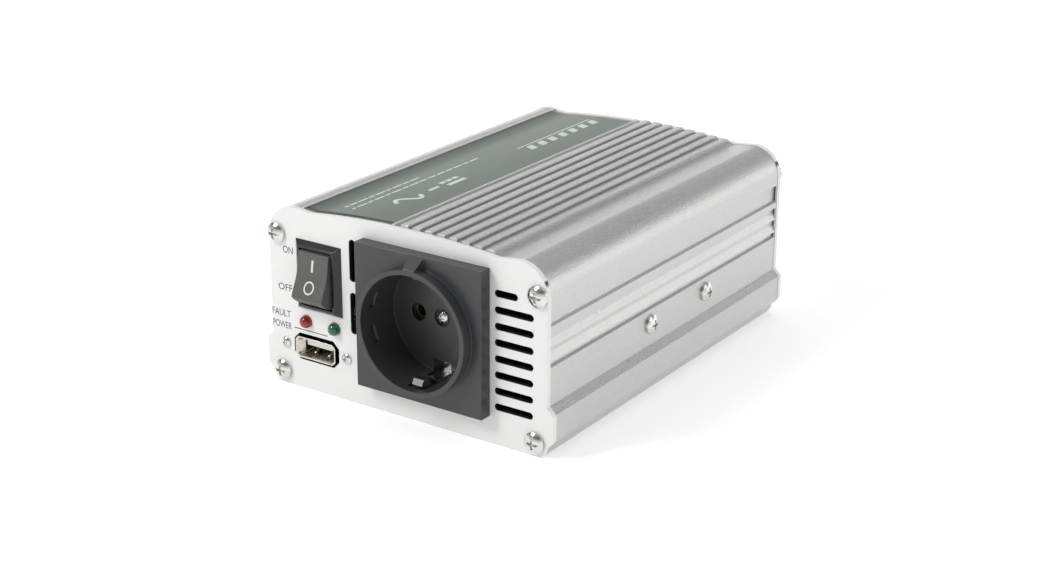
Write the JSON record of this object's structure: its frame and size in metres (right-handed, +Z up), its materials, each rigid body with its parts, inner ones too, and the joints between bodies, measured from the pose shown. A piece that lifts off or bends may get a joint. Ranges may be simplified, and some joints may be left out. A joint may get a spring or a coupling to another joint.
{
  "type": "power inverter",
  "caption": "Car power inverter in a ribbed extruded aluminium case with a round mains socket, rocker switch, USB outlet, lamps, rear fan and screw terminals.",
  "frame": {"origin": "on the underside, midway between the two end panels and midway between the sides", "axes": "+Z up, -Y out of the front panel, +X towards the mains socket's side of the front panel"},
  "size_m": [0.1166, 0.1822, 0.0661],
  "materials": {
    "anodised_case": "fine satin anodised, extruded along its length",
    "white_panel": "satin white paint",
    "label_print": "dark grey-green film",
    "nickel_screw": "bright nickel plate",
    "socket_plastic": "satin charcoal moulding",
    "spring_metal": "bright nickel plate",
    "brass": "plain brass",
    "switch_plastic": "black, slightly glossy",
    "usb_steel": "plated steel",
    "white_plastic": "plain white",
    "red_lamp": "clear red",
    "green_lamp": "clear green",
    "board": "green solder mask",
    "ferrite": "dark grey ferrite",
    "winding": "enamelled copper",
    "black_component": "black moulded",
    "film_box": "red moulded box",
    "fuse_amber": "amber moulded",
    "fan_plastic": "black moulded",
    "red_terminal": "red moulded",
    "black_terminal": "black moulded",
    "red_wire": "red sleeve",
    "black_wire": "black sleeve",
    "brown_wire": "brown sleeve"
  },
  "bodies": {
    "root": {"housing_shell": "anodised_case", "front_panel": "white_panel", "rear_panel": "white_panel", "top_label": "label_print", "front_screws": "nickel_screw", "rear_screws": "nickel_screw", "side_screws": "nickel_screw", "side_nuts": "nickel_screw", "socket_faceplate": "socket_plastic", "socket_base": "socket_plastic", "socket_earth_clips": "spring_metal", "socket_contacts": "brass", "socket_screw": "nickel_screw", "switch_housing": "switch_plastic", "switch_terminals": "brass", "usb_shell": "usb_steel", "usb_tongue": "white_plastic", "usb_contacts": "brass", "usb_board": "board", "usb_standoffs": "brass", "usb_screws": "nickel_screw", "led_fault": "red_lamp", "led_power": "green_lamp", "led_leads": "usb_steel", "main_board": "board", "transformer_core": "ferrite", "transformer_bobbin": "white_plastic", "transformer_winding": "winding", "input_capacitors": "black_component", "bus_capacitor": "black_component", "film_capacitor": "film_box", "power_transistors": "black_component", "transistor_pads": "white_plastic", "choke_core": "ferrite", "choke_winding": "winding", "fuses": "fuse_amber", "fuse_clips": "brass", "control_chips": "black_component", "buzzer": "black_component", "fan_frame": "fan_plastic", "fan_stator": "winding", "fan_screws": "nickel_screw", "fan_nuts": "nickel_screw", "terminal_studs": "brass", "terminal_bush_red": "red_terminal", "terminal_bush_black": "black_terminal", "terminal_nuts": "brass", "terminal_lugs": "usb_steel", "input_lead_red": "red_wire", "input_lead_black": "black_wire", "mains_leads": "brown_wire", "switch_leads": "black_wire"},
    "rocker": {"rocker": "switch_plastic"},
    "fan_rotor": {"fan_rotor": "fan_plastic"},
    "washer_red": {"terminal_washer_red": "usb_steel"},
    "knob_red": {"terminal_knob_red": "red_terminal"},
    "washer_black": {"terminal_washer_black": "usb_steel"},
    "knob_black": {"terminal_knob_black": "black_terminal"}
  },
  "joints": [
    {"name": "rocker_tilt", "type": "hinge", "parent": "root", "child": "rocker", "pos_m": [-0.0345, -0.07725, 0.04155], "axis": [1, 0, 0], "range_deg": [0, 34]},
    {"name": "fan_spin", "type": "hinge", "parent": "root", "child": "fan_rotor", "pos_m": [0.024, 0.06515, 0.035], "axis": [0, 1, 0], "continuous": true},
    {"name": "washer_red_travel", "type": "slide", "parent": "root", "child": "washer_red", "axis": [0, 1, 0], "range_m": [0, 0.004]},
    {"name": "knob_red_turn", "type": "hinge", "parent": "washer_red", "child": "knob_red", "pos_m": [-0.0425, 0.08145, 0.035], "axis": [0, 1, 0], "range_deg": [0, 1440]},
    {"name": "washer_black_travel", "type": "slide", "parent": "root", "child": "washer_black", "axis": [0, 1, 0], "range_m": [0, 0.004]},
    {"name": "knob_black_turn", "type": "hinge", "parent": "washer_black", "child": "knob_black", "pos_m": [-0.0195, 0.08145, 0.035], "axis": [0, 1, 0], "range_deg": [0, 1440]}
  ],
  "couplings": [
    {"joint": "washer_red_travel", "follows": "knob_red_turn", "m_per_rad": 0.00015915},
    {"joint": "washer_black_travel", "follows": "knob_black_turn", "m_per_rad": 0.00015915}
  ]
}
